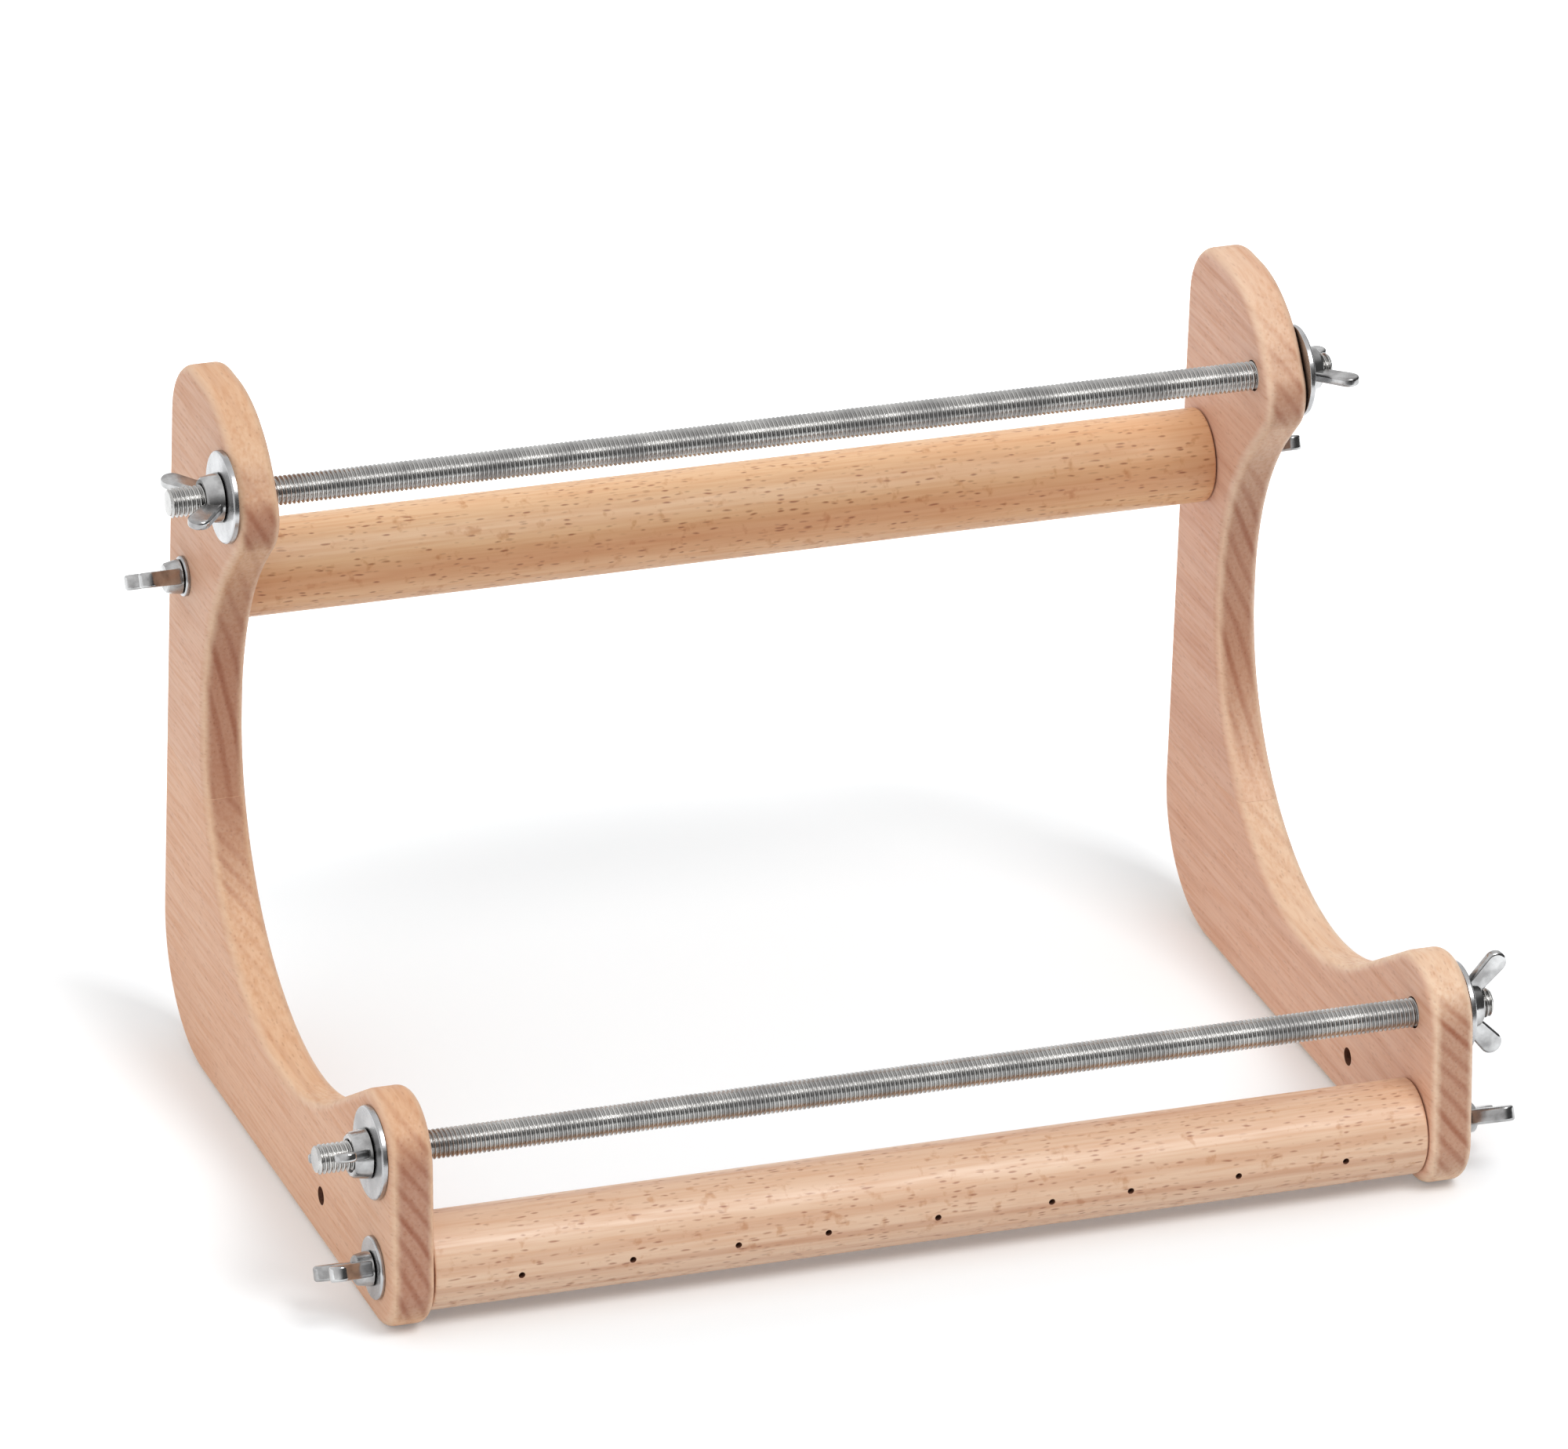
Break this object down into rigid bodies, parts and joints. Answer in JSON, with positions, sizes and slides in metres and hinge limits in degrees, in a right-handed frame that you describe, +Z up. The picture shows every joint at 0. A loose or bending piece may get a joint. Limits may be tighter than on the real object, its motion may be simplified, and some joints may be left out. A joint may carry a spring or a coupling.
{
  "type": "bead loom",
  "caption": "Free-standing wooden bead loom: C-shaped side frames carry rollers locked by wing bolts and threaded rods with wing nuts.",
  "frame": {"origin": "on the floor under the middle of the overall box", "axes": "+X along the rods from the left frame to the right one, +Y to the rear, +Z up"},
  "size_m": [0.3347, 0.1999, 0.2],
  "materials": {
    "frame_beech": "fine sanded, unvarnished",
    "roller_beech": "turned smooth, unvarnished",
    "rod_steel": "zinc-plated thread",
    "zinc_steel": "bright zinc plate",
    "brass": "bare"
  },
  "bodies": {
    "frame": {"left_upper_board": "frame_beech", "left_lower_board": "frame_beech", "right_upper_board": "frame_beech", "right_lower_board": "frame_beech", "upper_rod": "rod_steel", "lower_rod": "rod_steel"},
    "upper_roller": {"upper_roller": "roller_beech", "upper_left_insert": "brass", "upper_right_insert": "brass"},
    "lower_roller": {"lower_roller": "roller_beech", "lower_left_insert": "brass", "lower_right_insert": "brass"},
    "upper_left_rod_washer": {"upper_left_rod_washer": "zinc_steel"},
    "upper_left_wing_nut": {"upper_left_wing_nut": "zinc_steel"},
    "upper_right_rod_washer": {"upper_right_rod_washer": "zinc_steel"},
    "upper_right_wing_nut": {"upper_right_wing_nut": "zinc_steel"},
    "lower_left_rod_washer": {"lower_left_rod_washer": "zinc_steel"},
    "lower_left_wing_nut": {"lower_left_wing_nut": "zinc_steel"},
    "lower_right_rod_washer": {"lower_right_rod_washer": "zinc_steel"},
    "lower_right_wing_nut": {"lower_right_wing_nut": "zinc_steel"},
    "upper_left_bolt_washer": {"upper_left_bolt_washer": "zinc_steel"},
    "upper_left_wing_bolt": {"upper_left_wing_bolt": "zinc_steel"},
    "upper_right_bolt_washer": {"upper_right_bolt_washer": "zinc_steel"},
    "upper_right_wing_bolt": {"upper_right_wing_bolt": "zinc_steel"},
    "lower_left_bolt_washer": {"lower_left_bolt_washer": "zinc_steel"},
    "lower_left_wing_bolt": {"lower_left_wing_bolt": "zinc_steel"},
    "lower_right_bolt_washer": {"lower_right_bolt_washer": "zinc_steel"},
    "lower_right_wing_bolt": {"lower_right_wing_bolt": "zinc_steel"}
  },
  "joints": [
    {"name": "upper_roller_turn", "type": "hinge", "parent": "frame", "child": "upper_roller", "pos_m": [0, 0.0845, 0.139], "axis": [1, 0, 0], "continuous": true},
    {"name": "lower_roller_turn", "type": "hinge", "parent": "frame", "child": "lower_roller", "pos_m": [0, -0.085, 0.0155], "axis": [1, 0, 0], "continuous": true},
    {"name": "upper_left_rod_washer_slide", "type": "slide", "parent": "frame", "child": "upper_left_rod_washer", "axis": [-1, 0, 0], "range_m": [0, 0.0025]},
    {"name": "upper_left_wing_nut_spin", "type": "hinge", "parent": "upper_left_rod_washer", "child": "upper_left_wing_nut", "pos_m": [-0.1521, 0.0505, 0.177], "axis": [-1, 0, 0], "range_deg": [0, 720]},
    {"name": "upper_right_rod_washer_slide", "type": "slide", "parent": "frame", "child": "upper_right_rod_washer", "axis": [1, 0, 0], "range_m": [0, 0.0025]},
    {"name": "upper_right_wing_nut_spin", "type": "hinge", "parent": "upper_right_rod_washer", "child": "upper_right_wing_nut", "pos_m": [0.1521, 0.0505, 0.177], "axis": [1, 0, 0], "range_deg": [0, 720]},
    {"name": "lower_left_rod_washer_slide", "type": "slide", "parent": "frame", "child": "lower_left_rod_washer", "axis": [-1, 0, 0], "range_m": [0, 0.0025]},
    {"name": "lower_left_wing_nut_spin", "type": "hinge", "parent": "lower_left_rod_washer", "child": "lower_left_wing_nut", "pos_m": [-0.1521, -0.0815, 0.0475], "axis": [-1, 0, 0], "range_deg": [0, 720]},
    {"name": "lower_right_rod_washer_slide", "type": "slide", "parent": "frame", "child": "lower_right_rod_washer", "axis": [1, 0, 0], "range_m": [0, 0.0025]},
    {"name": "lower_right_wing_nut_spin", "type": "hinge", "parent": "lower_right_rod_washer", "child": "lower_right_wing_nut", "pos_m": [0.1521, -0.0815, 0.0475], "axis": [1, 0, 0], "range_deg": [0, 720]},
    {"name": "upper_left_bolt_washer_slide", "type": "slide", "parent": "frame", "child": "upper_left_bolt_washer", "axis": [-1, 0, 0], "range_m": [0, 0.002]},
    {"name": "upper_left_wing_bolt_spin", "type": "hinge", "parent": "upper_left_bolt_washer", "child": "upper_left_wing_bolt", "pos_m": [-0.1521, 0.0845, 0.139], "axis": [-1, 0, 0], "range_deg": [0, 720]},
    {"name": "upper_right_bolt_washer_slide", "type": "slide", "parent": "frame", "child": "upper_right_bolt_washer", "axis": [1, 0, 0], "range_m": [0, 0.002]},
    {"name": "upper_right_wing_bolt_spin", "type": "hinge", "parent": "upper_right_bolt_washer", "child": "upper_right_wing_bolt", "pos_m": [0.1521, 0.0845, 0.139], "axis": [1, 0, 0], "range_deg": [0, 720]},
    {"name": "lower_left_bolt_washer_slide", "type": "slide", "parent": "frame", "child": "lower_left_bolt_washer", "axis": [-1, 0, 0], "range_m": [0, 0.002]},
    {"name": "lower_left_wing_bolt_spin", "type": "hinge", "parent": "lower_left_bolt_washer", "child": "lower_left_wing_bolt", "pos_m": [-0.1521, -0.085, 0.0155], "axis": [-1, 0, 0], "range_deg": [0, 720]},
    {"name": "lower_right_bolt_washer_slide", "type": "slide", "parent": "frame", "child": "lower_right_bolt_washer", "axis": [1, 0, 0], "range_m": [0, 0.002]},
    {"name": "lower_right_wing_bolt_spin", "type": "hinge", "parent": "lower_right_bolt_washer", "child": "lower_right_wing_bolt", "pos_m": [0.1521, -0.085, 0.0155], "axis": [1, 0, 0], "range_deg": [0, 720]}
  ],
  "couplings": [
    {"joint": "upper_left_rod_washer_slide", "follows": "upper_left_wing_nut_spin", "m_per_rad": 0.00019894},
    {"joint": "upper_right_rod_washer_slide", "follows": "upper_right_wing_nut_spin", "m_per_rad": 0.00019894},
    {"joint": "lower_left_rod_washer_slide", "follows": "lower_left_wing_nut_spin", "m_per_rad": 0.00019894},
    {"joint": "lower_right_rod_washer_slide", "follows": "lower_right_wing_nut_spin", "m_per_rad": 0.00019894},
    {"joint": "upper_left_bolt_washer_slide", "follows": "upper_left_wing_bolt_spin", "m_per_rad": 0.00015915},
    {"joint": "upper_right_bolt_washer_slide", "follows": "upper_right_wing_bolt_spin", "m_per_rad": 0.00015915},
    {"joint": "lower_left_bolt_washer_slide", "follows": "lower_left_wing_bolt_spin", "m_per_rad": 0.00015915},
    {"joint": "lower_right_bolt_washer_slide", "follows": "lower_right_wing_bolt_spin", "m_per_rad": 0.00015915}
  ]
}
